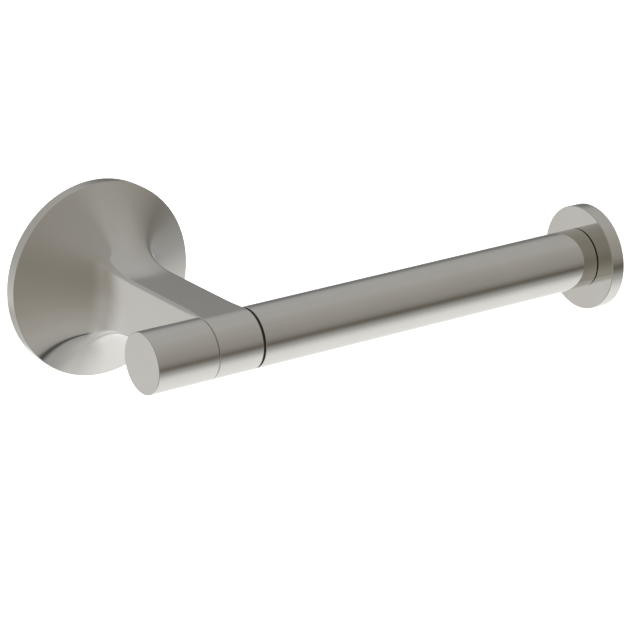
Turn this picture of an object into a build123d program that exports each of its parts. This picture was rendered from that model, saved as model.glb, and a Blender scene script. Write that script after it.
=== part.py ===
from build123d import *
import math
import os

# A toilet paper holder for a wall. A flared post carries a bar that turns about its own axis and
# ends in a round disc. Millimetres. The origin is the centre of the flange on the wall plane,
# +X runs along the bar to the disc, -Y comes out of the wall into the room, and +Z is up.

# ---- driving dimensions ----
bar_d = 19.05  # the bar, the collar and the end cap share one diameter
bar_reach = 74.2  # the bar's axis to the wall
flange_d = 63.5
rim_t = 4.2  # the straight rim of the flange
collar_w = 15.5  # the collar and the arm, along the bar
cap_end = -29.0  # the outer face of the end cap
disc_d = 33.6
disc_t = 4.75
disc_face = 136.1  # the disc's face towards the roll

arm_corner = 1.0  # the rounding of the arm's long edges
flare_length = 31.0  # from the rim to where the arm runs straight
flare_start_d = 63.0  # just inside the rim's edge
width_power = 1.12  # its width opens later than its height
height_power = 0.85
flare_power = 2.5  # how straight the flare ends at the arm; at the rim it is nearly a cone

cap_seam = 0.3  # between the end cap and the collar
disc_seam = 0.25  # between the bar and the disc
slip = 0.05  # play where one piece slides in or turns on another

plate_d, plate_t = 42.0, 2.5
pocket_d, pocket_t = 46.4, 3.0  # the recess in the flange's back for the plate
boss_d, boss_end = 14.8, 18.0  # the boss that the post slides over
groove_at, groove_deep = 12.0, 1.2
screw_pitch, screw_d = 25.0, 3.5
screw_head_d = 7.0
screw_tip = 19.0  # the screws' points, behind the wall plane
anchor_d, anchor_length, anchor_slit = 6.0, 20.0, 1.0
boss_screw_d, boss_screw_head_d, boss_screw_end = 4.9, 9.2, 13.0
set_screw_d, set_screw_end = 3.9, 13.0
set_screw_lean = 50.0  # degrees from straight below towards the bar's side, out of sight from the front

spindle_d, thread_d = 8.0, 5.9
spindle_left, spindle_right = -15.0, 24.0
bush_d, bush_flange_d, bush_flange_t, bush_length = 11.9, 13.6, 1.0, 5.1
cap_wall, cap_end_wall = 1.6, 2.5
spigot_d, spigot_bore, spigot_depth = 15.9, 13.8, 3.5
washer_t, washer_d = 0.75, 18.6  # the black ring between the collar and the bar
steel_washer_t, steel_washer_d = 1.0, 12.4
spring_room, spring_t, spring_rise = 1.75, 0.4, 0.45
spring_in, spring_out = 4.3, 6.3  # the disc springs' inner and outer radii
nut_flats, nut_t = 10.0, 5.5

tube_wall = 1.2
root_plug_length, tip_plug_length = 21.0, 16.5
disc_spigot = 3.5
stud_length, stud_depth = 18.5, 2.7  # the stud, and how far it goes into the disc

# ---- places that follow from them ----
bar_r = bar_d / 2
collar_face = collar_w / 2
flare_end = rim_t + flare_length
tube_start = collar_face + washer_t + slip
tube_end = disc_face - disc_seam
tube_bore = bar_r - tube_wall
plug_r = tube_bore - slip / 2
thread_bore = (thread_d + 2 * slip) / 2
bore_r = (boss_d + 2 * slip) / 2
left_step = -collar_face + spigot_depth  # the bottom of the collar's left counterbore
right_step = collar_face - bush_flange_t - slip  # and of its right one
steel_washer_face = left_step - bush_flange_t - spring_room
cap_open = -collar_face - cap_seam
bar_axis = Axis((0, -bar_reach, 0), (1, 0, 0))
bar_side = Plane(origin=(0, -bar_reach, 0), x_dir=(1, 0, 0), z_dir=(0, 0, 1))  # x, radius
screw_heights = (screw_pitch / 2, -screw_pitch / 2)


def out_of_wall(depth):
    """A plane parallel to the wall, facing the room, its x along the bar and its y up."""
    return Plane(origin=(0, -depth, 0), x_dir=(1, 0, 0), z_dir=(0, -1, 0))


def wall_side(height):
    """A level plane through an axis that leaves the wall at a height: x is radius, y is depth."""
    return Plane(origin=(0, 0, height), x_dir=(1, 0, 0), z_dir=(0, 0, -1))


def along_bar(x):
    """A plane square to the bar at x, facing the disc."""
    return Plane(origin=(x, -bar_reach, 0), x_dir=(0, 1, 0), z_dir=(1, 0, 0))


def flare_section(turn):
    """The flare's depth, width, height and corner radius, from its rim, 0, to the arm, 90."""
    spread = math.cos(math.radians(turn)) ** 2
    depth = flare_end - flare_length * spread ** (1 / flare_power)
    width = collar_w + (flare_start_d - collar_w) * spread**width_power
    height = bar_d + (flare_start_d - bar_d) * spread**height_power
    corner = arm_corner + (flare_start_d / 2 - arm_corner) * spread
    return depth, width, height, min(corner, width / 2 - slip)


os.makedirs("parts", exist_ok=True)

# ---- the fixed side: what stays on the wall ----

# One casting: flange, flare, arm and collar. It is open at the back to go over the plate's boss.
with BuildPart() as wall_post:
    with BuildSketch(out_of_wall(0)):
        Circle(flange_d / 2)
    extrude(amount=rim_t)
    # the flare leaves the rim on a straight step, then curves in to the arm
    for turns, straight in (((0, 10), True), (range(10, 91, 10), False)):
        for turn in turns:
            depth, width, height, corner = flare_section(turn)
            with BuildSketch(out_of_wall(depth)):
                RectangleRounded(width, height, corner)
        loft(ruled=straight)
    with BuildSketch(out_of_wall(flare_end)):
        RectangleRounded(collar_w, bar_d, arm_corner)
    extrude(amount=bar_reach - flare_end)
    with BuildSketch(along_bar(-collar_face)):
        Circle(bar_r)
    extrude(amount=collar_w)
    # the recess for the plate runs in to the bore for the boss
    with BuildSketch(wall_side(0)):
        with BuildLine():
            Polyline(
                (0, 0),
                (pocket_d / 2, 0),
                (pocket_d / 2, pocket_t),
                (bore_r, groove_at - set_screw_d / 2 - 0.5),
                (bore_r, boss_end + 0.6),
                (0, boss_end + 0.6),
                close=True,
            )
        make_face()
    revolve(axis=Axis.Y, mode=Mode.SUBTRACT)
    # the set screw's hole comes up from below, on the side of the bar
    across, down = math.sin(math.radians(set_screw_lean)), math.cos(math.radians(set_screw_lean))
    hole_start = (flange_d / 2 * across, -groove_at, -flange_d / 2 * down)
    with BuildSketch(Plane(origin=hole_start, z_dir=(-across, 0, down))):
        Circle(set_screw_d / 2 + slip)
    extrude(amount=flange_d / 2 - bore_r + 1, mode=Mode.SUBTRACT)
    # the collar is bored for the bushes and counterbored for the cap and the right bush's flange
    with BuildSketch(along_bar(-collar_face)):
        Circle(bush_d / 2 + slip)
    extrude(amount=collar_w, mode=Mode.SUBTRACT)
    with BuildSketch(along_bar(-collar_face)):
        Circle(spigot_d / 2 + slip)
    extrude(amount=spigot_depth, mode=Mode.SUBTRACT)
    with BuildSketch(along_bar(right_step)):
        Circle(bush_flange_d / 2 + slip)
    extrude(amount=collar_face - right_step, mode=Mode.SUBTRACT)
wall_post.part.label = "wall_post"
export_step(wall_post.part, "parts/wall_post.step")

# A round steel plate, with two screws to the wall and one from behind for the boss.
with BuildPart() as wall_plate:
    with BuildSketch(out_of_wall(0)):
        Circle(plate_d / 2)
    extrude(amount=plate_t)
    with Locations(out_of_wall(plate_t)):
        with Locations(*[(0, height) for height in screw_heights]):
            CounterSinkHole(
                radius=screw_d / 2 + 0.25,
                counter_sink_radius=screw_head_d / 2 + slip,
                counter_sink_angle=90,
            )
    with Locations(Plane(origin=(0, 0, 0), x_dir=(1, 0, 0), z_dir=(0, 1, 0))):
        CounterSinkHole(
            radius=boss_screw_d / 2 + 0.15,
            counter_sink_radius=boss_screw_head_d / 2 + 0.2,
            counter_sink_angle=90,
        )
    chamfer(wall_plate.faces().sort_by(Axis.Y).first.edges().sort_by(SortBy.RADIUS).last, 0.4)
wall_plate.part.label = "wall_plate"
export_step(wall_plate.part, "parts/wall_plate.step")

# The boss that carries the post, with a groove all round for the set screw's point.
with BuildPart() as plate_boss:
    with BuildSketch(wall_side(0)):
        with BuildLine():
            Polyline(
                (0, plate_t),
                (boss_d / 2, plate_t),
                (boss_d / 2, groove_at - groove_deep - 1.0),
                (boss_d / 2 - groove_deep, groove_at - 1.0),
                (boss_d / 2 - groove_deep, groove_at + 1.0),
                (boss_d / 2, groove_at + groove_deep + 1.0),
                (boss_d / 2, boss_end - 0.8),
                (boss_d / 2 - 0.8, boss_end),
                (0, boss_end),
                close=True,
            )
        make_face()
    revolve(axis=Axis.Y)
    with BuildSketch(out_of_wall(plate_t)):
        Circle(boss_screw_d / 2 + slip)
    extrude(amount=boss_screw_end - plate_t + 0.5, mode=Mode.SUBTRACT)
plate_boss.part.label = "plate_boss"
export_step(plate_boss.part, "parts/plate_boss.step")

# A countersunk socket screw holds the boss to the plate from behind.
with BuildPart() as boss_screw:
    with BuildSketch(wall_side(0)):
        with BuildLine():
            Polyline(
                (0, 0.2),
                (boss_screw_head_d / 2, 0.2),
                (boss_screw_d / 2, 0.2 + (boss_screw_head_d - boss_screw_d) / 2),
                (boss_screw_d / 2, boss_screw_end - 0.5),
                (boss_screw_d / 2 - 0.5, boss_screw_end),
                (0, boss_screw_end),
                close=True,
            )
        make_face()
    revolve(axis=Axis.Y)
    with BuildSketch(out_of_wall(0.2)):
        RegularPolygon(1.5, 6, major_radius=False)
    extrude(amount=2.0, mode=Mode.SUBTRACT)
boss_screw.part.label = "boss_screw"
export_step(boss_screw.part, "parts/boss_screw.step")

# Two countersunk wall screws with cross recesses.
with BuildPart() as wall_screws:
    for height in screw_heights:
        with BuildSketch(wall_side(height)):
            with BuildLine():
                Polyline(
                    (0, plate_t),
                    (screw_head_d / 2, plate_t),
                    (screw_d / 2, plate_t - (screw_head_d - screw_d) / 2),
                    (screw_d / 2, -screw_tip + 3.0),
                    (0.2, -screw_tip),
                    (0, -screw_tip),
                    close=True,
                )
            make_face()
        revolve(axis=Axis((0, 0, height), (0, 1, 0)))
    with BuildSketch(out_of_wall(plate_t)):
        for height in screw_heights:
            with Locations((0, height)):
                Rectangle(3.6, 0.9)
                Rectangle(0.9, 3.6)
    extrude(amount=-1.3, mode=Mode.SUBTRACT)
wall_screws.part.label = "wall_screws"
export_step(wall_screws.part, "parts/wall_screws.step")

# Two nylon anchors, slit along their inner half so that the screws spread them.
with BuildPart() as wall_anchors:
    for height in screw_heights:
        with BuildSketch(out_of_wall(0)):
            with Locations((0, height)):
                Circle(anchor_d / 2)
                Circle(screw_d / 2 + slip, mode=Mode.SUBTRACT)
        extrude(amount=-anchor_length)
        with BuildSketch(out_of_wall(-anchor_length)):
            with Locations((0, height)):
                Rectangle(anchor_d + 1, anchor_slit)
        extrude(amount=anchor_length / 2, mode=Mode.SUBTRACT)
wall_anchors.part.label = "wall_anchors"
export_step(wall_anchors.part, "parts/wall_anchors.step")

# The socket set screw that locks the post on the boss, from below.
with BuildPart() as set_screw:
    set_screw_side = Plane(origin=(0, -groove_at, 0), x_dir=(1, 0, 0), z_dir=(0, 1, 0))
    with BuildSketch(set_screw_side):
        with BuildLine():
            Polyline(
                (0, boss_d / 2 - groove_deep + 0.1),
                (0.8, boss_d / 2 - groove_deep + 0.1),
                (set_screw_d / 2, boss_d / 2 + 0.2),
                (set_screw_d / 2, set_screw_end - 0.3),
                (set_screw_d / 2 - 0.3, set_screw_end),
                (0, set_screw_end),
                close=True,
            )
        make_face()
    revolve(axis=Axis((0, -groove_at, 0), (0, 0, 1)))
    with BuildSketch(Plane(origin=(0, -groove_at, -set_screw_end))):
        RegularPolygon(1.0, 6, major_radius=False)
    extrude(amount=2.5, mode=Mode.SUBTRACT)
set_screw = set_screw.part.rotate(Axis.Y, -set_screw_lean)
set_screw.label = "set_screw"
export_step(set_screw, "parts/set_screw.step")

# The hollow end cap, pressed into the collar's left side by its spigot.
with BuildPart() as end_cap:
    with BuildSketch(bar_side):
        with BuildLine():
            Polyline(
                (cap_end, 0),
                (cap_end, bar_r - 0.2),
                (cap_end + 0.2, bar_r),
                (cap_open, bar_r),
                (cap_open, spigot_d / 2),
                (left_step - 0.35, spigot_d / 2),
                (left_step - 0.35, spigot_bore / 2),
                (cap_open - cap_wall, spigot_bore / 2),
                (cap_open - cap_wall - 1.0, bar_r - cap_wall),
                (cap_end + cap_end_wall, bar_r - cap_wall),
                (cap_end + cap_end_wall, 0),
                close=True,
            )
        make_face()
    revolve(axis=bar_axis)
end_cap.part.label = "end_cap"
export_step(end_cap.part, "parts/end_cap.step")

# Two equal flanged nylon bushes, one from each side of the collar.
for bush_name, step, way in (("bush_left", left_step, 1), ("bush_right", right_step, -1)):
    with BuildPart() as bush:
        with BuildSketch(bar_side):
            with BuildLine():
                Polyline(
                    (step - way * bush_flange_t, spindle_d / 2 + slip),
                    (step - way * bush_flange_t, bush_flange_d / 2),
                    (step, bush_flange_d / 2),
                    (step, bush_d / 2),
                    (step + way * bush_length, bush_d / 2),
                    (step + way * bush_length, spindle_d / 2 + slip),
                    close=True,
                )
            make_face()
        revolve(axis=bar_axis)
    bush.part.label = bush_name
    export_step(bush.part, f"parts/{bush_name}.step")

# The black thrust washer shows as the dark seam between the collar and the bar.
with BuildPart() as thrust_washer:
    with BuildSketch(along_bar(collar_face)):
        Circle(washer_d / 2)
        Circle(spindle_d / 2 + slip, mode=Mode.SUBTRACT)
    extrude(amount=washer_t)
thrust_washer.part.label = "thrust_washer"
export_step(thrust_washer.part, "parts/thrust_washer.step")

# ---- the turning side: the bar and what is fastened to it ----

with BuildPart() as bar_tube:
    with BuildSketch(along_bar(tube_start)):
        Circle(bar_r)
        Circle(tube_bore, mode=Mode.SUBTRACT)
    extrude(amount=tube_end - tube_start)
    chamfer(bar_tube.edges().filter_by(GeomType.CIRCLE).group_by(SortBy.RADIUS)[-1], 0.15)
bar_tube.part.label = "bar_tube"
export_step(bar_tube.part, "parts/bar_tube.step")

# The brass plugs in the tube's two ends: one takes the spindle, the other the disc's stud.
with BuildPart() as root_plug:
    with BuildSketch(along_bar(tube_start)):
        Circle(plug_r)
        Circle(thread_bore, mode=Mode.SUBTRACT)
    extrude(amount=root_plug_length)
    chamfer(root_plug.faces().sort_by(Axis.X).last.edges().sort_by(SortBy.RADIUS).last, 0.6)
root_plug.part.label = "root_plug"
export_step(root_plug.part, "parts/root_plug.step")

with BuildPart() as tip_plug:
    with BuildSketch(along_bar(disc_face - disc_spigot - slip)):
        Circle(plug_r)
        Circle(thread_bore, mode=Mode.SUBTRACT)
    extrude(amount=-tip_plug_length)
    chamfer(tip_plug.faces().sort_by(Axis.X).first.edges().sort_by(SortBy.RADIUS).last, 0.6)
tip_plug.part.label = "tip_plug"
export_step(tip_plug.part, "parts/tip_plug.step")

# The spindle turns in the bushes. Its shoulder sets how far the springs are squeezed.
with BuildPart() as spindle:
    with BuildSketch(bar_side):
        with BuildLine():
            Polyline(
                (spindle_left, 0),
                (spindle_left, thread_d / 2 - 0.6),
                (spindle_left + 0.6, thread_d / 2),
                (steel_washer_face, thread_d / 2),
                (steel_washer_face, spindle_d / 2),
                (tube_start, spindle_d / 2),
                (tube_start, thread_d / 2),
                (spindle_right - 0.6, thread_d / 2),
                (spindle_right, thread_d / 2 - 0.6),
                (spindle_right, 0),
                close=True,
            )
        make_face()
    revolve(axis=bar_axis)
spindle.part.label = "spindle"
export_step(spindle.part, "parts/spindle.step")

# Two disc springs, rim to rim, press the bar against the thrust washer.
with BuildPart() as disc_springs:
    spring_middle = steel_washer_face + spring_room / 2
    for way in (1, -1):
        outer = spring_middle + way * slip / 2
        inner = outer + way * spring_rise
        with BuildSketch(bar_side):
            with BuildLine():
                Polyline(
                    (inner, spring_in),
                    (inner + way * spring_t, spring_in),
                    (outer + way * spring_t, spring_out),
                    (outer, spring_out),
                    close=True,
                )
            make_face()
        revolve(axis=bar_axis)
disc_springs.part.label = "disc_springs"
export_step(disc_springs.part, "parts/disc_springs.step")

with BuildPart() as spindle_washer:
    with BuildSketch(along_bar(steel_washer_face)):
        Circle(steel_washer_d / 2)
        Circle(thread_bore, mode=Mode.SUBTRACT)
    extrude(amount=-steel_washer_t)
spindle_washer.part.label = "spindle_washer"
export_step(spindle_washer.part, "parts/spindle_washer.step")

with BuildPart() as lock_nut:
    with BuildSketch(along_bar(steel_washer_face - steel_washer_t)):
        RegularPolygon(nut_flats / 2, 6, major_radius=False)
        Circle(thread_bore, mode=Mode.SUBTRACT)
    extrude(amount=-nut_t)
lock_nut.part.label = "lock_nut"
export_step(lock_nut.part, "parts/lock_nut.step")

# The end disc keeps the roll on. Its spigot centres it in the tube.
with BuildPart() as end_disc:
    with BuildSketch(along_bar(disc_face)):
        Circle(disc_d / 2)
    extrude(amount=disc_t)
    chamfer(end_disc.edges().filter_by(GeomType.CIRCLE), 0.25)
    with BuildSketch(along_bar(disc_face)):
        Circle(plug_r)
    extrude(amount=-disc_spigot)
    with BuildSketch(along_bar(disc_face - disc_spigot)):
        Circle(thread_bore)
    extrude(amount=disc_spigot + stud_depth + 0.2, mode=Mode.SUBTRACT)
end_disc.part.label = "end_disc"
export_step(end_disc.part, "parts/end_disc.step")

with BuildPart() as disc_stud:
    with BuildSketch(along_bar(disc_face + stud_depth)):
        Circle(thread_d / 2)
    extrude(amount=-stud_length)
    chamfer(disc_stud.edges().filter_by(GeomType.CIRCLE), 0.5)
disc_stud.part.label = "disc_stud"
export_step(disc_stud.part, "parts/disc_stud.step")
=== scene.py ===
import math

import bpy
import numpy as np
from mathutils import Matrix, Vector


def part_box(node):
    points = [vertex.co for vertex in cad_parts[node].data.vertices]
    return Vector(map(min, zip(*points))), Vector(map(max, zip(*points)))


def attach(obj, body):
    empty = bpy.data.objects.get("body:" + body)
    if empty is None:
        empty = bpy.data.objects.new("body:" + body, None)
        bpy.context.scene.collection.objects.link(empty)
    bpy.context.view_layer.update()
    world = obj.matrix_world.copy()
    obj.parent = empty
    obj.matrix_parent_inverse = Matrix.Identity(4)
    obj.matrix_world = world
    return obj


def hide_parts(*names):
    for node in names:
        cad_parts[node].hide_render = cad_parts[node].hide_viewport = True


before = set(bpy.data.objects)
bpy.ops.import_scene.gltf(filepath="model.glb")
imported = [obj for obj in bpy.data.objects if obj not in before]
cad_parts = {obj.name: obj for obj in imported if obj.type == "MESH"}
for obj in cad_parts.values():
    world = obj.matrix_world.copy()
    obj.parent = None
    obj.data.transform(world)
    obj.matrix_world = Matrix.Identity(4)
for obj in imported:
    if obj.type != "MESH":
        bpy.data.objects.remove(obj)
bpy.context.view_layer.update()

# A wall-mounted toilet paper holder in brushed nickel. Lengths are in millimetres until a mesh is
# made, which is in metres. +X runs along the bar to the disc, -Y into the room and +Z up.


def span(node):
    """A node's lowest and highest corners in millimetres."""
    low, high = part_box(node)
    return np.array(low) * 1000, np.array(high) * 1000


_, post_high = span("wall_post")
tube_low, tube_high = span("bar_tube")
cap_low, cap_high = span("end_cap")
disc_low, disc_high = span("end_disc")
washer_low, washer_high = span("thrust_washer")

# ---- sizes that the nodes' boxes give ----
flange_r = post_high[0]
bar_r = (tube_high[2] - tube_low[2]) / 2
bar_reach = -(tube_low[1] + tube_high[1]) / 2
collar_half = washer_low[0]
disc_r = (disc_high[2] - disc_low[2]) / 2
washer_r = (washer_high[2] - washer_low[2]) / 2

# ---- sizes inside those boxes ----
rim_t = 4.2  # the flange's straight rim
flare_length = 31.0
flare_r = 31.5
width_power, height_power = 1.12, 0.85  # its width opens later than its height
flare_power = 2.5  # how straight the flare ends at the arm; at the rim it is nearly a cone
round_power = 0.75  # how late its sections turn from the arm's rectangle to the flange's circle
corner_growth = 10.0  # how much the flare's corners grow by the rim, before they turn round
arm_corner, collar_corner = 1.0, 0.2
flare_end = rim_t + flare_length
tube_wall = 1.2
slip = 0.05
bore_r = 7.45  # the boss's bore
plug_r = bar_r - tube_wall - slip / 2
pocket_r, pocket_t = 23.2, 3.0
boss_end, groove_at = 18.0, 12.0
set_screw_r, set_screw_lean = 1.95, math.radians(50)
thread_r, plug_thread_r, spindle_r = 2.95, 3.0, 4.0
spigot_r, spigot_deep = 7.95, 3.5  # the cap's spigot and the bore it enters
bush_r, bush_bore_r, bush_flange_r, bush_flange_t = 5.95, 4.05, 6.8, 1.0
spring_in, spring_t, spring_rise = 4.3, 0.4, 0.45
plate_r, plate_t = 21.0, 2.5
boss_r, groove_deep = 7.4, 1.2
boss_screw_r, boss_screw_head_r, boss_screw_face, boss_screw_end = 2.45, 4.6, 0.2, 13.0
wall_screw_r, wall_screw_head_r = 1.75, 3.5
screw_heights = (12.5, -12.5)
anchor_r, anchor_bore_r, anchor_slit = 3.0, 1.8, 1.0


# ---- surfaces ----


def outline(*corners, steps=5, guard=0.04):
    """Points of an outline from corners (along, radius, rounding): each rounding is an arc tangent
    to the two runs that meet there, with one more point on each run just past the arc's end."""
    places = np.array([corner[:2] for corner in corners], float)
    runs = []
    for number, corner in enumerate(corners):
        here = places[number]
        if len(corner) < 3:
            runs.append(here[None])
            continue
        back = places[number - 1] - here
        on = places[(number + 1) % len(places)] - here
        back, on = back / np.linalg.norm(back), on / np.linalg.norm(on)
        half = math.acos(np.clip(back @ on, -1, 1)) / 2
        cut = corner[2] / math.tan(half)
        turn = math.pi - 2 * half
        middle = here + (back + on) / np.linalg.norm(back + on) * corner[2] / math.sin(half)
        start, stop = here + back * cut - middle, here + on * cut - middle
        share = np.linspace(0, 1, steps + 1)[:, None]
        arc = (start * np.sin((1 - share) * turn) + stop * np.sin(share * turn)) / math.sin(turn)
        runs.append(np.vstack([here + back * (cut + guard), middle + arc, here + on * (cut + guard)]))
    return np.vstack(runs)


def round_angles(count):
    """Angles once round, the first again at the end."""
    return np.linspace(0, 2 * np.pi, count + 1)


def on_bar(along, side, up):
    """Places along the bar's axis, to the wall's side of it and above it."""
    return np.stack([along, side - bar_reach, up], -1)


def on_wall(depth, side, up):
    """Places out from the wall, along the bar and above the flange's centre."""
    return np.stack([side, -depth, up], -1)


def as_given(along, side, up):
    """Places along, beside and above an axis through the origin."""
    return np.stack([along, side, up], -1)


def at_height(height):
    """Places out from the wall round an axis at a height above the flange's centre."""
    return lambda depth, side, up: np.stack([side, -depth, up + height], -1)


def below_groove(drop, side, out):
    """Places out from the post's axis, under the boss's groove and leaning to the bar's side."""
    across, down = math.sin(set_screw_lean), math.cos(set_screw_lean)
    return np.stack([drop * across + side * down, out - groove_at, side * across - drop * down], -1)


def hexagon(angle):
    """How far a hexagon reaches at an angle, with its flats one unit away."""
    return 1 / np.cos((angle + np.pi / 6) % (np.pi / 3) - np.pi / 6)


def cross(angle):
    """How far a cross reaches at an angle: the larger of two bars, 1.8 long and 0.45 wide."""
    cos, sin = np.abs(np.cos(angle)) + 1e-9, np.abs(np.sin(angle)) + 1e-9
    return np.maximum(np.minimum(1.8 / cos, 0.45 / sin), np.minimum(0.45 / cos, 1.8 / sin))


def divided(line, step):
    """The same outline with a point at least every step along it, corners kept."""
    runs = np.linalg.norm(np.diff(line[:, :2], axis=0), axis=1)
    mark = np.concatenate([[0], np.cumsum(runs)])
    line, mark = line[np.append(True, runs > 0)], mark[np.append(True, runs > 0)]
    marks = np.union1d(mark, np.arange(0, mark[-1], step))
    return np.stack([np.interp(marks, mark, line[:, k]) for k in range(line.shape[1])], -1)


def wound(line, axis, pitch, depth, threads, limit, form=None, columns=48):
    """A turned outline with screw threads: within each thread's stretch the radius gives way by
    the depth times a V wave of along / pitch - angle / turn, faded in and out over one pitch. A
    third column in the outline is the share of another form, such as a hexagon, in the radius."""
    line = divided(line, pitch / 8)
    angle = round_angles(columns)[None]
    along, radius = line[:, :1], line[:, 1:2]
    wave = np.abs(2 * ((along / pitch - angle / (2 * np.pi)) % 1) - 1)
    wave = np.clip(1.4 * wave - 0.2, 0, 1)
    fade = sum(
        np.clip((along - start) / pitch, 0, 1) * np.clip((end - along) / pitch, 0, 1)
        for start, end in threads
    )
    threaded = (radius <= limit) & (radius > abs(depth))
    if line.shape[1] > 2:
        threaded = threaded & (line[:, 2:] == 0)
        radius = radius * (1 + line[:, 2:] * (form(angle) - 1))
    radius = radius - depth * wave * fade * threaded
    rows = axis(along + 0 * angle, radius * np.cos(angle), radius * np.sin(angle))
    rows[:, -1] = rows[:, 0]
    return rows


def block(low, high):
    """A plain box, for cutting slots."""
    low, high = low / 1000, high / 1000
    corners = [(x, y, z) for x in (low[0], high[0]) for y in (low[1], high[1]) for z in (low[2], high[2])]
    faces = [(0, 1, 3, 2), (4, 6, 7, 5), (0, 4, 5, 1), (2, 3, 7, 6), (0, 2, 6, 4), (1, 5, 7, 3)]
    mesh = bpy.data.meshes.new("block")
    mesh.from_pydata(corners, [], faces)
    box = bpy.data.objects.new("block", mesh)
    bpy.context.scene.collection.objects.link(box)
    return box


def turned(line, axis, columns=128):
    """An outline turned once round an axis: side = radius cos, up = radius sin."""
    angle = round_angles(columns)[None]
    along, radius = line[:, :1], line[:, 1:2]
    rows = axis(along + 0 * angle, radius * np.cos(angle), radius * np.sin(angle))
    rows[:, -1] = rows[:, 0]
    return rows


def made(name, *grids, sharp=35):
    """A closed mesh object from grids of points, rows by columns, with quads between neighbours.
    Points at one place are one vertex, quads with an edge of no length are triangles or nothing,
    and the faces are turned if the volume they enclose comes out negative."""
    flat = np.concatenate([grid.reshape(-1, 3) for grid in grids])
    keys = np.floor(flat * 1e4 + 0.637).astype(np.int64)
    _, first, same = np.unique(keys, axis=0, return_index=True, return_inverse=True)
    same = same.reshape(-1)
    quads, start = [], 0
    for grid in grids:
        rows, columns = grid.shape[:2]
        index = same[start:start + rows * columns].reshape(rows, columns)
        start += rows * columns
        ring = [index[:-1, :-1], index[:-1, 1:], index[1:, 1:], index[1:, :-1]]
        quads.append(np.stack(ring, -1).reshape(-1, 4))
    quads = np.concatenate(quads)
    meets = quads == np.roll(quads, -1, axis=1)
    folded = (quads[:, 0] == quads[:, 2]) | (quads[:, 1] == quads[:, 3])
    whole = quads[(meets.sum(1) == 0) & ~folded]
    pinched = (meets.sum(1) == 1) & ~folded
    corners = [quads[pinched & meets[:, k]][:, [k, (k + 2) % 4, (k + 3) % 4]] for k in range(4)]
    thirds = np.concatenate(corners)
    points = flat[first] / 1000
    halves = np.concatenate([whole[:, :3], whole[:, [0, 2, 3]], thirds])
    a, b, c = (points[halves[:, k]] for k in range(3))
    if (a * np.cross(b, c)).sum() < 0:
        whole, thirds = whole[:, ::-1], thirds[:, ::-1]
    mesh = bpy.data.meshes.new(name)
    mesh.from_pydata(points.tolist(), [], whole.tolist() + thirds.tolist())
    finish_mesh(mesh, sharp)
    piece = bpy.data.objects.new(name, mesh)
    bpy.context.scene.collection.objects.link(piece)
    return piece


def finish_mesh(mesh, sharp=35):
    """Smooth shading, except across edges that turn by more than this many degrees."""
    mesh.shade_smooth()
    mesh.set_sharp_from_angle(angle=math.radians(sharp))
    mesh.validate()
    mesh.update()


def cut_out(piece, *cutters):
    """Takes the cutters' volumes out of a piece and removes the cutters."""
    for cutter in cutters:
        cut = piece.modifiers.new("cut", "BOOLEAN")
        cut.operation, cut.solver, cut.object = "DIFFERENCE", "EXACT", cutter
    bpy.context.view_layer.update()
    shaped = piece.evaluated_get(bpy.context.evaluated_depsgraph_get())
    mesh = bpy.data.meshes.new_from_object(shaped)
    piece.modifiers.clear()
    piece.data = mesh
    finish_mesh(mesh)
    for cutter in cutters:
        bpy.data.objects.remove(cutter)


def settle(piece, node, body, slot, look=None):
    """Gives a finished piece its body and its finish, and hides the node it stands for."""
    piece.data.materials.clear()
    piece.data.materials.append(finishes[look or slot])
    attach(piece, body)
    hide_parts(node)


# ---- node helpers ----


def node_tree(tree):
    """Two short functions for a node tree: one adds a node, the other links two sockets."""

    def add(kind, **values):
        node = tree.nodes.new(kind)
        for key, value in values.items():
            if key in node.inputs:
                node.inputs[key].default_value = value
            else:
                setattr(node, key, value)
        return node

    return add, tree.links.new


def plain_material(name, **values):
    """A Principled material with these values, its node and its tree's two functions."""
    material = bpy.data.materials.new(name)
    material.use_nodes = True
    shader = material.node_tree.nodes["Principled BSDF"]
    for key, value in values.items():
        shader.inputs[key.replace("_", " ")].default_value = value
    add, link = node_tree(material.node_tree)
    return material, shader, add, link


def group(name, takes, gives):
    """An empty node group with these named inputs and outputs, and its inner nodes."""
    tree = bpy.data.node_groups.new(name, "ShaderNodeTree")
    for label, kind, value in takes:
        socket = tree.interface.new_socket(label, in_out="INPUT", socket_type=kind)
        if value is not None:
            socket.default_value = value
    for label in gives:
        tree.interface.new_socket(label, in_out="OUTPUT", socket_type="NodeSocketFloat")
    add, link = node_tree(tree)
    return tree, add("NodeGroupInput").outputs, add("NodeGroupOutput").inputs, add, link


def soft_clouds():
    """Slow drifts over a few millimetres, as from uneven polishing and handling. The value goes
    from Low to High."""
    takes = [
        ("Scale", "NodeSocketFloat", 60.0),
        ("Low", "NodeSocketFloat", 0.0),
        ("High", "NodeSocketFloat", 1.0),
    ]
    tree, given, out, add, link = group("soft_clouds", takes, ["Value"])
    place = add("ShaderNodeTexCoord")
    noise = add("ShaderNodeTexNoise", Detail=4.0, Roughness=0.55, Distortion=0.4)
    link(place.outputs["Object"], noise.inputs["Vector"])
    link(given["Scale"], noise.inputs["Scale"])
    reach = add("ShaderNodeMapRange", interpolation_type="SMOOTHSTEP")
    reach.inputs["From Min"].default_value = 0.3
    reach.inputs["From Max"].default_value = 0.7
    link(noise.outputs["Fac"], reach.inputs["Value"])
    link(given["Low"], reach.inputs["To Min"])
    link(given["High"], reach.inputs["To Max"])
    link(reach.outputs["Result"], out["Value"])
    return tree


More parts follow.
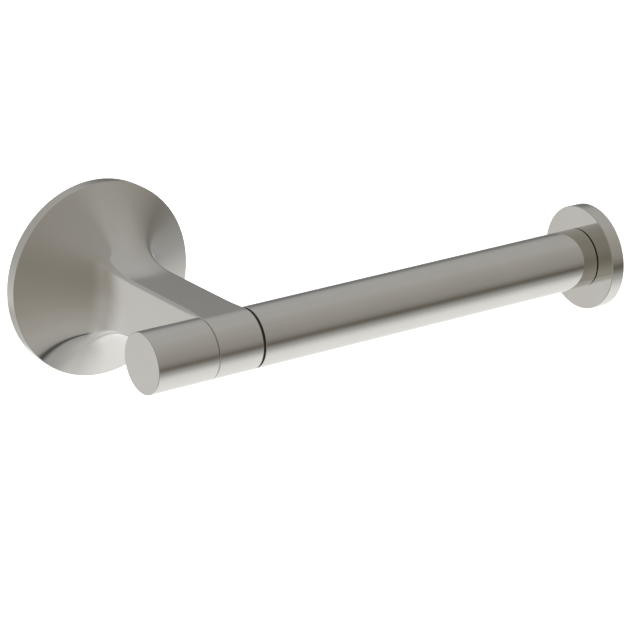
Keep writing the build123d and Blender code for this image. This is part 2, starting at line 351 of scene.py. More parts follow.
def turned_marks():
    """The fine rings a lathe and a polishing wheel leave. Place is centred on the axis, which
    runs along X, and the rings follow both the length and the radius."""
    takes = [("Place", "NodeSocketVector", None), ("Lines per metre", "NodeSocketFloat", 3000.0)]
    tree, given, out, add, link = group("turned_marks", takes, ["Height"])
    parts = add("ShaderNodeSeparateXYZ")
    link(given["Place"], parts.inputs[0])
    flat = add("ShaderNodeCombineXYZ")
    link(parts.outputs["Y"], flat.inputs["X"])
    link(parts.outputs["Z"], flat.inputs["Y"])
    radius = add("ShaderNodeVectorMath", operation="LENGTH")
    link(flat.outputs[0], radius.inputs[0])
    ring = add("ShaderNodeCombineXYZ")
    link(parts.outputs["X"], ring.inputs["X"])
    link(radius.outputs["Value"], ring.inputs["Y"])
    dense = add("ShaderNodeVectorMath", operation="SCALE")
    link(ring.outputs[0], dense.inputs[0])
    link(given["Lines per metre"], dense.inputs["Scale"])
    round_it = add("ShaderNodeVectorMath", operation="NORMALIZE")
    link(flat.outputs[0], round_it.inputs[0])
    joined = add("ShaderNodeVectorMath", operation="ADD")
    link(dense.outputs[0], joined.inputs[0])
    link(round_it.outputs[0], joined.inputs[1])
    noise = add("ShaderNodeTexNoise", Scale=1.0, Detail=3.0, Roughness=0.6)
    link(joined.outputs[0], noise.inputs["Vector"])
    link(noise.outputs["Fac"], out["Height"])
    return tree


def fine_grain():
    """A fine even grain: Height for the surface and a Value for its roughness."""
    takes = [
        ("Place", "NodeSocketVector", None),
        ("Scale", "NodeSocketFloat", 1500.0),
        ("Low", "NodeSocketFloat", 0.0),
        ("High", "NodeSocketFloat", 1.0),
    ]
    tree, given, out, add, link = group("fine_grain", takes, ["Height", "Value"])
    noise = add("ShaderNodeTexNoise", Detail=2.0, Roughness=0.5)
    link(given["Place"], noise.inputs["Vector"])
    link(given["Scale"], noise.inputs["Scale"])
    reach = add("ShaderNodeMapRange")
    reach.inputs["From Min"].default_value = 0.3
    reach.inputs["From Max"].default_value = 0.7
    link(noise.outputs["Fac"], reach.inputs["Value"])
    link(given["Low"], reach.inputs["To Min"])
    link(given["High"], reach.inputs["To Max"])
    link(noise.outputs["Fac"], out["Height"])
    link(reach.outputs["Result"], out["Value"])
    return tree


clouds, marks, grain = soft_clouds(), turned_marks(), fine_grain()


def placed(add, tree, **values):
    """A node that holds one of the groups, with its own values."""
    node = add("ShaderNodeGroup", node_tree=tree)
    for key, value in values.items():
        node.inputs[key.replace("_", " ")].default_value = value
    return node


def finish(name, first, second, metallic, rough, surface, cloud_scale=60.0, centre=(0, 0, 0),
           stretch=(1, 1, 1)):
    """One material: its colour drifts between two tones and its roughness between two levels,
    and its surface is either turned marks or fine grain, given as (kind, density, height)."""
    material, shader, add, link = plain_material(name, Metallic=metallic)
    tones = placed(add, clouds, Scale=cloud_scale)
    mix = add("ShaderNodeMix", data_type="RGBA")
    mix.inputs["A"].default_value = (*first, 1)
    mix.inputs["B"].default_value = (*second, 1)
    link(tones.outputs["Value"], mix.inputs["Factor"])
    link(mix.outputs["Result"], shader.inputs["Base Color"])
    kind, density, height = surface
    place = add("ShaderNodeTexCoord")
    shift = tuple(-along * scale for along, scale in zip(centre, stretch))
    mapping = add("ShaderNodeMapping", Scale=stretch, Location=shift)
    link(place.outputs["Object"], mapping.inputs["Vector"])
    if kind == "turned":
        texture = placed(add, marks, Lines_per_metre=density)
        smooth = placed(add, clouds, Scale=cloud_scale * 1.7, Low=rough[0], High=rough[1])
        link(smooth.outputs["Value"], shader.inputs["Roughness"])
    else:
        texture = placed(add, grain, Scale=density, Low=rough[0], High=rough[1])
        link(texture.outputs["Value"], shader.inputs["Roughness"])
    link(mapping.outputs["Vector"], texture.inputs["Place"])
    bump = add("ShaderNodeBump", Strength=1.0, Distance=height)
    link(texture.outputs["Height"], bump.inputs["Height"])
    link(bump.outputs["Normal"], shader.inputs["Normal"])
    return material


on_the_bar = (0, -bar_reach / 1000, 0)
nickel, nickel_worn = (0.7, 0.685, 0.645), (0.675, 0.66, 0.615)
finishes = {
    "brushed_nickel": finish(
        "brushed_nickel", nickel, nickel_worn, 1.0, (0.035, 0.055), ("grain", 1400.0, 4e-7),
        cloud_scale=35.0, stretch=(1, 0.25, 1),
    ),
    "turned_nickel": finish(
        "turned_nickel", nickel, nickel_worn, 1.0, (0.035, 0.055), ("turned", 2500.0, 4e-7),
        cloud_scale=45.0, centre=on_the_bar,
    ),
    "black_nylon": finish(
        "black_nylon", (0.004, 0.004, 0.004), (0.009, 0.009, 0.009), 0.0, (0.55, 0.7),
        ("grain", 4000.0, 2e-5),
    ),
    "pale_nylon": finish(
        "pale_nylon", (0.74, 0.72, 0.67), (0.68, 0.655, 0.6), 0.0, (0.38, 0.5), ("grain", 3000.0, 1.5e-5),
        cloud_scale=150.0,
    ),
    "zinc_steel": finish(
        "zinc_steel", (0.62, 0.63, 0.645), (0.52, 0.52, 0.51), 1.0, (0.26, 0.42), ("grain", 900.0, 8e-6),
        cloud_scale=220.0,
    ),
    "spring_steel": finish(
        "spring_steel", (0.2, 0.185, 0.17), (0.13, 0.125, 0.14), 1.0, (0.3, 0.42), ("turned", 1800.0, 4e-6),
        cloud_scale=200.0, centre=on_the_bar,
    ),
    "brass": finish(
        "brass", (0.82, 0.62, 0.3), (0.66, 0.47, 0.2), 1.0, (0.2, 0.34), ("turned", 2500.0, 4e-6),
        cloud_scale=180.0, centre=on_the_bar,
    ),
}


# ---- the post: flange, flare, arm and collar in one casting ----


def post_angles(per_eighth=24, crowding=2.2):
    """Angles once round, crowded towards the four corners: in each eighth of a turn the angle
    from the corner is an eighth of a turn times a falling share to a power."""
    share = np.linspace(0, 1, per_eighth + 1)
    eighth = math.pi / 4 * (1 - (1 - share) ** crowding)
    quarter = np.concatenate([eighth, (math.pi / 2 - eighth[::-1])[1:]])
    quarters = [quarter[:-1] + number * math.pi / 2 for number in range(4)]
    return np.concatenate([*quarters, [2 * math.pi]])


def rounded_box(half_x, half_z, corner, angle):
    """Where rays in the directions (half_x cos, half_z sin) leave a rectangle with rounded
    corners: on a flat side the stretch is one over the larger of cos and sin, and in a corner
    it is the larger root of the ray's quadratic with the corner's circle."""
    cos, sin = np.abs(np.cos(angle)), np.abs(np.sin(angle))
    ray_x, ray_z = half_x * cos, half_z * sin
    flat = 1 / np.maximum(cos, sin)
    mid_x, mid_z = half_x - corner, half_z - corner
    square = ray_x**2 + ray_z**2
    along = ray_x * mid_x + ray_z * mid_z
    rest = mid_x**2 + mid_z**2 - corner**2
    arc = (along + np.sqrt(np.maximum(along**2 - square * rest, 0))) / square
    in_corner = (flat * ray_x > mid_x) & (flat * ray_z > mid_z)
    stretch = np.where(in_corner, arc, flat)
    return stretch * half_x * np.cos(angle), stretch * half_z * np.sin(angle)


def post_surface():
    """The casting as one closed grid. Rows run from the middle of the boss's bore, over the
    flange's back and rim, up the flare and along the arm, and the last rows swing the arm's
    upper and lower halves round the bar's axis until they meet at the front. In the flare
    depth = end - length * spread^(1 / power), half width and half height grow with powers of the
    spread, and each section is (1 - k) times a rounded rectangle plus k times an ellipse."""
    angle = post_angles()[None]
    # the turned rows: bore, recess, back and rim
    deep_end = boss_end + 0.6
    cone_end = groove_at - set_screw_r - 0.5
    back = outline(
        (deep_end, 0),
        (deep_end, bore_r, 0.1),
        (cone_end, bore_r, 0.5),
        (pocket_t, pocket_r, 0.3),
        (0, pocket_r, 0.2),
        (0, flange_r, 0.2),
        (rim_t, flange_r, flange_r - flare_r),
        (rim_t, flare_r - 1),
    )[:-2]
    back_rows = turned_at(back, angle)
    # the flare: its depth falls with a root of its spread, which is 1 at the rim and 0 at the arm,
    # and each section goes from the arm's rounded rectangle to the flange's circle
    spread = np.cos(np.linspace(0, math.pi / 2, 72))[:, None] ** 2
    depth = flare_end - flare_length * spread ** (1 / flare_power)
    half_x = collar_half + (flare_r - collar_half) * spread**width_power
    half_z = bar_r + (flare_r - bar_r) * spread**height_power
    corner = arm_corner + corner_growth * spread
    x, z = rounded_box(half_x, half_z, np.minimum(corner, half_x - slip), angle)
    roundness = (spread * flare_r / half_x) ** round_power
    x = (1 - roundness) * x + roundness * half_x * np.cos(angle)
    z = (1 - roundness) * z + roundness * half_z * np.sin(angle)
    flare_rows = on_wall(depth + 0 * angle, x, z)
    # the arm, whose edges sharpen before the collar
    share = np.linspace(0, 1, 13)[1:, None]
    arm_depth = flare_end + (bar_reach - flare_end) * (1 - (1 - share) ** 1.6)
    ease = np.clip((arm_depth - (bar_reach - 9)) / 9, 0, 1)
    corner = arm_corner + (collar_corner - arm_corner) * ease**2 * (3 - 2 * ease)
    x, z = rounded_box(collar_half + 0 * share, bar_r + 0 * share, corner, angle)
    arm_rows = on_wall(arm_depth + 0 * angle, x, z)
    # the collar's front half
    swing = np.linspace(0, math.pi / 2, 33)[1:, None]
    end_x, end_z = x[-1:], z[-1:]
    collar_depth = bar_reach + np.abs(end_z) * np.sin(swing)
    collar_rows = on_wall(collar_depth, end_x + 0 * swing, end_z * np.cos(swing))
    return np.concatenate([back_rows, flare_rows, arm_rows, collar_rows])


def turned_at(line, angle):
    """An outline turned round the wall's axis at the given angles."""
    along, radius = line[:, :1], line[:, 1:2]
    return on_wall(along + 0 * angle, radius * np.cos(angle), radius * np.sin(angle))


def post_bores():
    """What is cut from the casting: the stepped bore along the collar and the set screw's hole."""
    face = collar_half + 1
    spigot_end = spigot_deep - collar_half
    flange_step = collar_half - bush_flange_t - slip
    collar_bore = outline(
        (-face, 0),
        (-face, spigot_r + slip),
        (spigot_end, spigot_r + slip, 0.1),
        (spigot_end, bush_r + slip, 0.1),
        (flange_step, bush_r + slip, 0.1),
        (flange_step, bush_flange_r + slip, 0.1),
        (face, bush_flange_r + slip),
        (face, 0),
    )
    inner, outer, hole_r = bore_r - 1.5, 22, set_screw_r + slip
    screw_hole = outline((inner, 0), (inner, hole_r), (outer, hole_r), (outer, 0))
    return (
        made("collar_bore", turned(collar_bore, on_bar, 96)),
        made("screw_hole", turned(screw_hole, below_groove, 48)),
    )


flared_post = made("flared_post", post_surface())
cut_out(flared_post, *post_bores())
settle(flared_post, "wall_post", "post", "brushed_nickel")
flared_post.visible_glossy = False  # the studio's even light, and not the flange, shows in the arm

# ---- the turned pieces that show ----


def end_cap_surface():
    """The hollow cap: a closed round end, a thin wall and the spigot that enters the collar."""
    left, right = cap_low[0], cap_high[0]
    seam = -collar_half - 0.3
    spigot_in = 6.9
    line = outline(
        (left, 0),
        (left, bar_r, 0.22),
        (seam, bar_r, 0.12),
        (seam, spigot_r, 0.1),
        (right, spigot_r, 0.3),
        (right, spigot_in, 0.2),
        (seam - 1.6, spigot_in, 0.1),
        (seam - 2.6, bar_r - 1.6, 0.1),
        (left + 2.5, bar_r - 1.6, 0.4),
        (left + 2.5, 0),
    )
    return turned(line, on_bar, 160)


cap = made("round_end_cap", end_cap_surface())
settle(cap, "end_cap", "post", "brushed_nickel", "turned_nickel")


def seam_washer_surface():
    """The flat black ring that shows as the wide dark seam."""
    left, right = washer_low[0], washer_high[0]
    line = outline(
        (left, bush_bore_r), (left, washer_r, 0.12), (right, washer_r, 0.12), (right, bush_bore_r),
        (left, bush_bore_r)
    )
    return turned(line, on_bar, 160)


seam_washer = made("seam_washer", seam_washer_surface())
settle(seam_washer, "thrust_washer", "post", "black_nylon")


def bar_sleeve_surface():
    """The bar: a tube with its four edges just broken."""
    left, right = tube_low[0], tube_high[0]
    inner = bar_r - tube_wall
    line = outline(
        (left, inner + 0.3),
        (left, bar_r, 0.15),
        (right, bar_r, 0.15),
        (right, inner, 0.1),
        (left, inner, 0.1),
        (left, inner + 0.3),
    )
    return turned(line, on_bar, 160)


bar_sleeve = made("bar_sleeve", bar_sleeve_surface())
settle(bar_sleeve, "bar_tube", "bar", "brushed_nickel", "turned_nickel")


def roll_stop_surface():
    """The end disc, its edges rounded, with the spigot that centres it in the bar."""
    left, right = disc_low[0], disc_high[0]
    face = tube_high[0] + 0.25
    hole_end = face + 2.9
    line = outline(
        (hole_end, 0),
        (hole_end, 3.0, 0.1),
        (left, 3.0, 0.3),
        (left, plug_r, 0.4),
        (face, plug_r, 0.2),
        (face, disc_r, 0.28),
        (right, disc_r, 0.28),
        (right, 0),
    )
    return turned(line, on_bar, 192)


roll_stop = made("roll_stop_disc", roll_stop_surface())
settle(roll_stop, "end_disc", "bar", "brushed_nickel", "turned_nickel")


# ---- hidden hardware of the turning bar ----

nut_low, nut_high = span("lock_nut")
spindle_low, spindle_high = span("spindle")
stud_low, stud_high = span("disc_stud")


def bush_surface(node, way):
    """A flanged bush with a plain bore. Its flange is on the outer side."""
    low, high = span(node)
    outer, inner = (low[0], high[0]) if way > 0 else (high[0], low[0])
    step = outer + way * bush_flange_t
    line = outline(
        (outer, bush_bore_r + 1.2),
        (outer, bush_flange_r, 0.15),
        (step, bush_flange_r, 0.15),
        (step, bush_r, 0.1),
        (inner, bush_r, 0.4),
        (inner, bush_bore_r, 0.2),
        (outer, bush_bore_r, 0.2),
        (outer, bush_bore_r + 1.2),
    )
    return turned(line, on_bar, 72)


for node, way in (("bush_left", 1), ("bush_right", -1)):
    bush = made(node + "_moulding", bush_surface(node, way))
    settle(bush, node, "post", "pale_nylon")


def plug_surface(node):
    """A threaded plug for the tube's end, chamfered at its inner end, with a groove round it."""
    low, high = span(node)
    inside = high[0] if node == "root_plug" else low[0]
    outside = low[0] + high[0] - inside
    way = 1 if inside > outside else -1
    middle = (low[0] + high[0]) / 2
    line = outline(
        (outside, plug_thread_r + 0.3),
        (outside, plug_r, 0.2),
        (middle - way * 1.5, plug_r, 0.1),
        (middle - way * 1.2, plug_r - 0.3, 0.1),
        (middle + way * 1.2, plug_r - 0.3, 0.1),
        (middle + way * 1.5, plug_r, 0.1),
        (inside - way * 0.6, plug_r, 0.1),
        (inside, plug_r - 0.6, 0.1),
        (inside, plug_thread_r + 0.3),
        (inside - way * 0.3, plug_thread_r),
        (outside + way * 0.3, plug_thread_r),
        (outside, plug_thread_r + 0.3),
    )
    return wound(line, on_bar, 1.0, -0.2, [(low[0] + 0.3, high[0] - 0.3)], limit=plug_thread_r + 0.01)


for node in ("root_plug", "tip_plug"):
    plug = made(node + "_turned", plug_surface(node))
    settle(plug, node, "bar", "brass")


def spindle_surface():
    """The spindle: a ground shoulder that turns in the bushes, with a thread at each end."""
    left, right = spindle_low[0], spindle_high[0]
    shoulder = span("spindle_washer")[1][0]
    line = outline(
        (left, 0),
        (left, thread_r - 0.6, 0.1),
        (left + 0.6, thread_r),
        (shoulder, thread_r, 0.1),
        (shoulder, spindle_r, 0.15),
        (tube_low[0], spindle_r, 0.15),
        (tube_low[0], thread_r, 0.1),
        (right - 0.6, thread_r),
        (right, thread_r - 0.6, 0.1),
        (right, 0),
    )
    threads = [(left + 0.2, shoulder - 0.3), (tube_low[0] + 0.4, right - 0.2)]
    return wound(line, on_bar, 1.0, 0.45, threads, limit=thread_r + 0.01)


settle(made("bar_spindle", spindle_surface()), "spindle", "bar", "zinc_steel")


def stud_surface():
    """A stud threaded from end to end."""
    left, right = stud_low[0], stud_high[0]
    line = outline(
        (left, 0),
        (left, thread_r - 0.5, 0.1),
        (left + 0.5, thread_r),
        (right - 0.5, thread_r),
        (right, thread_r - 0.5, 0.1),
        (right, 0),
    )
    return wound(line, on_bar, 1.0, 0.45, [(left + 0.1, right - 0.1)], limit=thread_r + 0.01)


settle(made("disc_fixing_stud", stud_surface()), "disc_stud", "bar", "zinc_steel")


def nut_surface():
    """A hexagon nut: its radius is the smaller of the hexagon's and that of two 30 degree cones
    that break the corners, and its bore is threaded."""
    left, right = nut_low[0], nut_high[0]
    flat = (nut_high[2] - nut_low[2]) / 2
    flat = min(flat, (nut_high[1] - nut_low[1]) / 2)
    line = np.array([
        (right, thread_r + 0.05),
        (left, thread_r + 0.05),
        (left, flat * 0.95),
        (left + 0.9, flat * 0.95 + 1.55),
        (right - 0.9, flat * 0.95 + 1.55),
        (right, flat * 0.95),
        (right, thread_r + 0.05),
    ])
    rows = wound(line, as_given, 1.0, -0.3, [(left, right)], limit=thread_r + 0.06, columns=60)
    along, side, up = rows[..., 0], rows[..., 1], rows[..., 2]
    radius, angle = np.hypot(side, up), np.arctan2(up, side)
    turn = 0 if nut_high[2] - nut_low[2] > nut_high[1] - nut_low[1] else math.pi / 6
    radius = np.minimum(radius, flat * hexagon(angle + turn))
    return on_bar(along, radius * np.cos(angle), radius * np.sin(angle))


settle(made("hex_lock_nut", nut_surface()), "lock_nut", "bar", "zinc_steel")


def flat_washer_surface():
    low, high = span("spindle_washer")
    outer = (high[2] - low[2]) / 2
    line = outline(
        (low[0], thread_r + 1),
        (low[0], outer, 0.15),
        (high[0], outer, 0.15),
        (high[0], thread_r + 0.05, 0.1),
        (low[0], thread_r + 0.05, 0.1),
        (low[0], thread_r + 1),
    )
    return turned(line, on_bar, 72)


settle(made("spindle_flat_washer", flat_washer_surface()), "spindle_washer", "bar", "zinc_steel")


def disc_spring_surfaces():
    """Two shallow cones, rim to rim, each with rounded edges."""
    low, high = span("disc_springs")
    middle, outer = (low[0] + high[0]) / 2, (high[2] - low[2]) / 2
    cones = []
    for way in (1, -1):
        rim = middle + way * slip / 2
        crown = rim + way * spring_rise
        line = outline(
            (crown, spring_in + 0.5),
            (crown, spring_in, 0.1),
            (crown + way * spring_t, spring_in, 0.1),
            (rim + way * spring_t, outer, 0.1),
            (rim, outer, 0.1),
            (crown - way * spring_rise * 0.5 / (outer - spring_in), spring_in + 0.5),
        )[1:]
        cones.append(turned(np.vstack([line, line[:1]]), on_bar, 72))
    return cones


settle(made("disc_spring_pair", *disc_spring_surfaces()), "disc_springs", "bar", "spring_steel")

# ---- what holds the post on the wall ----


def boss_surface():
    """The boss: a turned spigot with a groove for the set screw and a blind bore from behind."""
    front, start = boss_end, plate_t
    outer = boss_r
    line = outline(
        (start, 2.5),
        (start, outer, 0.1),
        (groove_at - 2.2, outer, 0.1),
        (groove_at - 1.0, outer - 1.2, 0.2),
        (groove_at + 1.0, outer - 1.2, 0.2),
        (groove_at + 2.2, outer, 0.1),
        (front, outer, 0.8),
        (front, 0),
    )
    bore = np.array([(boss_screw_end + 0.6, 0), (boss_screw_end + 0.2, 2.5), (start, 2.5)])
    return turned(np.vstack([bore, line[1:]]), on_wall, 96)


settle(made("post_boss", boss_surface()), "plate_boss", "post", "brass")


def plate_piece():
    """The stamped plate: a round disc less two countersunk wall screw holes and one from behind."""
    disc = outline((0, 0), (0, plate_r, 0.15), (plate_t, plate_r, 0.4), (plate_t, 0))
    plate = made("stamped_wall_plate", turned(disc, on_wall, 128))
    cutters = []
    for height in (*screw_heights, 0):
        front = height != 0
        hole, head = (2.0, 3.55) if front else (2.6, 4.8)
        face, other = (plate_t, 0) if front else (0, plate_t)
        way = 1 if front else -1
        line = np.array([
            (face + way, 0),
            (face + way, head + 1),
            (face, head),
            (face - way * (head - hole), hole),
            (other - way, hole),
            (other - way, 0),
        ])
        cutters.append(made("cutter", turned(line, at_height(height), 64)))
    cut_out(plate, *cutters)
    return plate


settle(plate_piece(), "wall_plate", "post", "zinc_steel")


def boss_screw_surface():
    """A countersunk socket screw, seen from behind the plate."""
    head_r, shank_r, start, end = boss_screw_head_r, boss_screw_r, boss_screw_face, boss_screw_end
    line = np.array([
        (start + 2.4, 0, 1),
        (start + 2.0, 1.5, 1),
        (start + 0.1, 1.5, 1),
        (start, 1.62, 1),
        (start, 1.95, 0),
        (start, head_r - 0.25, 0),
        (start + 0.1, head_r, 0),
        (start + 0.3, head_r - 0.05, 0),
        (start + head_r - shank_r + 0.2, shank_r, 0),
        (end - 0.5, shank_r, 0),
        (end, shank_r - 0.5, 0),
        (end, 0, 0),
    ])
    return wound(line, on_wall, 0.8, 0.4, [(start + 3, end - 0.2)], limit=shank_r + 0.01,
                 form=hexagon, columns=60)


settle(made("boss_countersunk_screw", boss_screw_surface()), "boss_screw", "post", "zinc_steel")


def set_screw_surface():
    """A socket set screw with a cone point, in the boss's groove."""
    r = set_screw_r
    top = boss_r - groove_deep + 0.1
    bottom = (-span("set_screw")[0][2] - r * math.sin(set_screw_lean)) / math.cos(set_screw_lean)
    line = np.array([
        (top, 0, 0),
        (top, 0.7, 0),
        (top + 0.1, 0.8, 0),
        (top + 1.3, r, 0),
        (bottom - 0.3, r, 0),
        (bottom, r - 0.3, 0),
        (bottom, 1.3, 0),
        (bottom, 1.08, 1),
        (bottom - 0.1, 1.0, 1),
        (bottom - 2.2, 1.0, 1),
        (bottom - 2.5, 0, 1),
    ])
    return wound(line, below_groove, 0.7, 0.35, [(top + 1.3, bottom - 0.1)], limit=r + 0.01,
                 form=hexagon, columns=60)


settle(made("socket_set_screw", set_screw_surface()), "set_screw", "post", "spring_steel")


def wall_screw_surface(height):
    """A countersunk wood screw: cross recess, coarse thread and a point."""
    r, head_r = wall_screw_r, wall_screw_head_r
    tip = -span("wall_screws")[1][1]
    line = np.array([
        (plate_t - 1.4, 0, 1),
        (plate_t - 1.2, 0.6, 1),
        (plate_t, 1.0, 1),
        (plate_t, 2.3, 0),
        (plate_t, head_r - 0.2, 0),
        (plate_t - 0.2, head_r, 0),
        (plate_t - 0.3, head_r - 0.1, 0),
        (plate_t - (head_r - r), r, 0),
        (tip + 3.5, r, 0),
        (tip, 0, 0),
    ])
    return wound(line, at_height(height), 1.8, 0.55, [(tip - 1, plate_t - head_r + r - 1)], limit=r + 0.01,
                 form=cross, columns=72)


wall_screw_grids = [wall_screw_surface(height) for height in screw_heights]
settle(made("cross_head_wall_screws", *wall_screw_grids), "wall_screws", "post", "zinc_steel")


def anchor_piece():
    """Two ribbed nylon anchors, slit along their inner half."""
    length = span("wall_anchors")[1][1]
    ribs = []
    for start in np.arange(2.0, length - 2, 1.6):
        ribs += [(-start, anchor_r), (-start - 1.25, anchor_r - 0.35), (-start - 1.35, anchor_r - 0.35)]
    grids, cutters = [], []
    for height in screw_heights:
        line = np.array([
            (0, anchor_bore_r),
            (0, anchor_r - 0.15),
            (-0.15, anchor_r),
            *ribs,
            (-length + 0.8, anchor_r - 0.2),
            (-length, anchor_r - 0.7),
            (-length, anchor_bore_r),
            (0, anchor_bore_r),
        ])
        grids.append(turned(line, at_height(height), 64))
        half = np.array([anchor_r + 1, length / 4 + 0.5, anchor_slit / 2])
        centre = np.array([0, length * 0.75 + 0.5, height])
        cutters.append(block(centre - half, centre + half))
    anchors = made("ribbed_wall_anchors", *grids)
    cut_out(anchors, *cutters)
    return anchors


settle(anchor_piece(), "wall_anchors", "post", "pale_nylon")


# ---- light ----


def grey(value, warmth=0.0):
    """A light level, a little yellower for more warmth."""
    return (value * (1 + 0.075 * warmth), value, value * (1 - 0.12 * warmth), 1)


def studio():
    """Soft studio light by direction: below the horizon a bright table, above it dim walls and a
    ceiling, with a dark strip at the horizon in front and behind. Each band is a colour ramp over
    elevation, and neighbouring bands are mixed by the compass angle, 0 at the front."""
    world = bpy.data.worlds.new("studio")
    bpy.context.scene.world = world
    world.use_nodes = True
    tree = world.node_tree
    tree.nodes.clear()
    add, link = node_tree(tree)
    place = add("ShaderNodeTexCoord")
    parts = add("ShaderNodeSeparateXYZ")
    link(place.outputs["Generated"], parts.inputs[0])
    rise = add("ShaderNodeMath", operation="ARCSINE")
    link(parts.outputs["Z"], rise.inputs[0])
    height = add("ShaderNodeMapRange")
    height.inputs["From Min"].default_value = -math.pi / 2
    height.inputs["From Max"].default_value = math.pi / 2
    link(rise.outputs[0], height.inputs["Value"])
    front = add("ShaderNodeMath", operation="MULTIPLY")
    front.inputs[1].default_value = -1
    link(parts.outputs["Y"], front.inputs[0])
    compass = add("ShaderNodeMath", operation="ARCTAN2")
    link(parts.outputs["X"], compass.inputs[0])
    link(front.outputs[0], compass.inputs[1])

    def band(*stops):
        ramp = add("ShaderNodeValToRGB")
        ramp.color_ramp.interpolation = "CARDINAL"
        marks = ramp.color_ramp.elements
        while len(marks) < len(stops):
            marks.new(0.5)
        for mark, (elevation, level, warmth) in zip(marks, stops):
            mark.position = (elevation + 90) / 180
            mark.color = grey(level, warmth)
        link(height.outputs[0], ramp.inputs[0])
        return ramp.outputs["Color"]

    def between(first, second, start, stop):
        """Passes from one band to the next between two compass angles in degrees."""
        share = add("ShaderNodeMapRange", interpolation_type="SMOOTHSTEP")
        share.inputs["From Min"].default_value = math.radians(start)
        share.inputs["From Max"].default_value = math.radians(stop)
        link(compass.outputs[0], share.inputs["Value"])
        mix = add("ShaderNodeMix", data_type="RGBA")
        link(share.outputs[0], mix.inputs["Factor"])
        link(first, mix.inputs["A"])
        link(second, mix.inputs["B"])
        return mix.outputs["Result"]

    front_right = band(
        (-90, 0.6, 0), (-65, 0.8, 0), (-55, 0.93, 0), (-45, 0.84, 0), (-35, 0.59, 0),
        (-24, 0.34, 0.2), (-18, 0.2, 0.7),
        (-13, 0.155, 1), (-7, 0.225, 0.8), (0, 0.3, 0.6), (8, 0.35, 0.5), (30, 0.405, 0.5), (50, 0.45, 0.3),
        (90, 0.5, 0.2),
    )
    back_right = band(
        (-90, 0.6, 0), (-70, 1.0, 0), (-55, 1.12, 0), (-36, 1.09, 0), (-24, 1.05, 0),
        (-15, 0.38, 0), (-9, 0.37, 0),
        (-4, 0.31, 0), (3, 0.235, 0), (9, 0.215, 0), (14, 0.24, 0), (20, 0.31, 0), (28, 0.43, 0),
        (45, 0.51, 0), (90, 0.5, 0.2),
    )
    front_left = band(
        (-90, 0.62, 0), (-78, 0.58, 0), (-68, 0.46, 0.1), (-63.5, 0.4, 0.1), (-60, 0.08, 0.1),
        (-57, 0.38, 0.2), (-50, 0.48, 0.3), (-40, 0.45, 0.4), (-30, 0.39, 0.7), (-20, 0.335, 0.9),
        (-10, 0.3, 1), (0, 0.285, 1),
        (12, 0.315, 0.8), (30, 0.35, 0.6), (60, 0.37, 0.4), (90, 0.39, 0.2),
    )
    left = band(
        (-90, 0.62, 0), (-60, 0.7, 0), (-50, 0.63, 0.1), (-40, 0.54, 0.2), (-30, 0.5, 0.2),
        (-20, 0.46, 0.4),
        (-8, 0.38, 0.6), (12, 0.41, 0.6), (60, 0.39, 0.4), (90, 0.39, 0.2),
    )
    right = band(
        (-90, 0.6, 0), (-55, 1.08, 0), (-38, 1.0, 0), (-24, 0.75, 0), (-16, 0.5, 0), (-4, 0.33, 0.3),
        (4, 0.24, 0.5), (12, 0.27, 0.5), (30, 0.4, 0.4), (50, 0.49, 0.2), (90, 0.5, 0.2),
    )
    behind = band((-90, 0.62, 0), (-50, 0.75, 0), (-30, 0.56, 0.2), (0, 0.5, 0.3), (90, 0.4, 0.2))
    back_left = band(
        (-90, 0.6, 0), (-50, 1.0, 0), (-30, 0.8, 0), (-20, 0.72, 0.1), (5, 0.5, 0.1), (90, 0.4, 0.2),
    )
    colour = between(behind, back_left, -160, -150)
    colour = between(colour, left, -142, -104)
    colour = between(colour, front_left, -98, -72)
    colour = between(colour, front_right, 5, 40)
    colour = between(colour, right, 45, 85)
    colour = between(colour, back_right, 95, 140)
    colour = between(colour, behind, 160, 180)
    path = add("ShaderNodeLightPath")
    seen = add("ShaderNodeMix", data_type="RGBA")
    link(path.outputs["Is Camera Ray"], seen.inputs["Factor"])
    link(colour, seen.inputs["A"])
    seen.inputs["B"].default_value = (1, 1, 1, 1)
    light = add("ShaderNodeBackground")
    link(seen.outputs["Result"], light.inputs["Color"])
    out = add("ShaderNodeOutputWorld")
    link(light.outputs[0], out.inputs["Surface"])


def floor_and_lamp():
    """A wide pale floor well below the holder, and a broad lamp above that lights it evenly.
    The metal reflects the studio's own levels, so neither shows in it."""
    half = 14.0
    drop = -1.3
    grid = np.stack(np.meshgrid(np.linspace(-half, half, 9), np.linspace(-half, half, 9), [drop]), -1)
    floor = made("floor", grid.reshape(9, 9, 3) * 1000)
    if floor.data.polygons[0].normal.z < 0:
        floor.data.flip_normals()
    material, shader, add, link = plain_material("pale_floor", Base_Color=(0.85, 0.85, 0.85, 1))
    noise = add("ShaderNodeTexNoise", Scale=3.0, Detail=3.0)
    place = add("ShaderNodeTexCoord")
    link(place.outputs["Object"], noise.inputs["Vector"])
    rough = add("ShaderNodeMapRange")
    rough.inputs["To Min"].default_value = 0.85
    rough.inputs["To Max"].default_value = 0.95
    link(noise.outputs["Fac"], rough.inputs["Value"])
    link(rough.outputs[0], shader.inputs["Roughness"])
    floor.data.materials.append(material)
    floor.visible_glossy = False
    lamp = bpy.data.lights.new("broad_lamp", "SUN")
    lamp.energy = 4.6
    lamp.angle = math.radians(120)
    holder = bpy.data.objects.new("broad_lamp", lamp)
    bpy.context.scene.collection.objects.link(holder)
    holder.visible_glossy = False


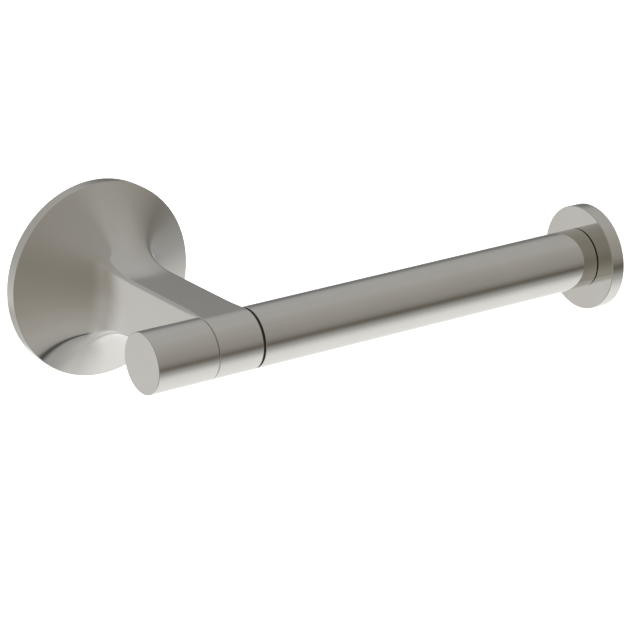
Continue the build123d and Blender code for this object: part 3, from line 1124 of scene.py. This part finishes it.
def camera():
    """The camera stands to the left of the front and looks a little down, from far away."""
    azimuth, elevation, distance = math.radians(-35.08), math.radians(20.18), 0.9787
    aim = Vector((0.0512, -0.0480, -0.0096))
    back = Vector((
        math.sin(azimuth) * math.cos(elevation),
        -math.cos(azimuth) * math.cos(elevation),
        math.sin(elevation),
    ))
    data = bpy.data.cameras.new("camera")
    data.lens, data.sensor_width = 178.5, 36.0
    data.clip_start, data.clip_end = 0.01, 100
    eye = bpy.data.objects.new("camera", data)
    bpy.context.scene.collection.objects.link(eye)
    eye.rotation_mode = "QUATERNION"
    eye.location = aim + back * distance
    eye.rotation_quaternion = (-back).to_track_quat("-Z", "Y")
    bpy.context.scene.camera = eye


studio()
floor_and_lamp()
camera()
bpy.context.scene.view_settings.view_transform = "Standard"
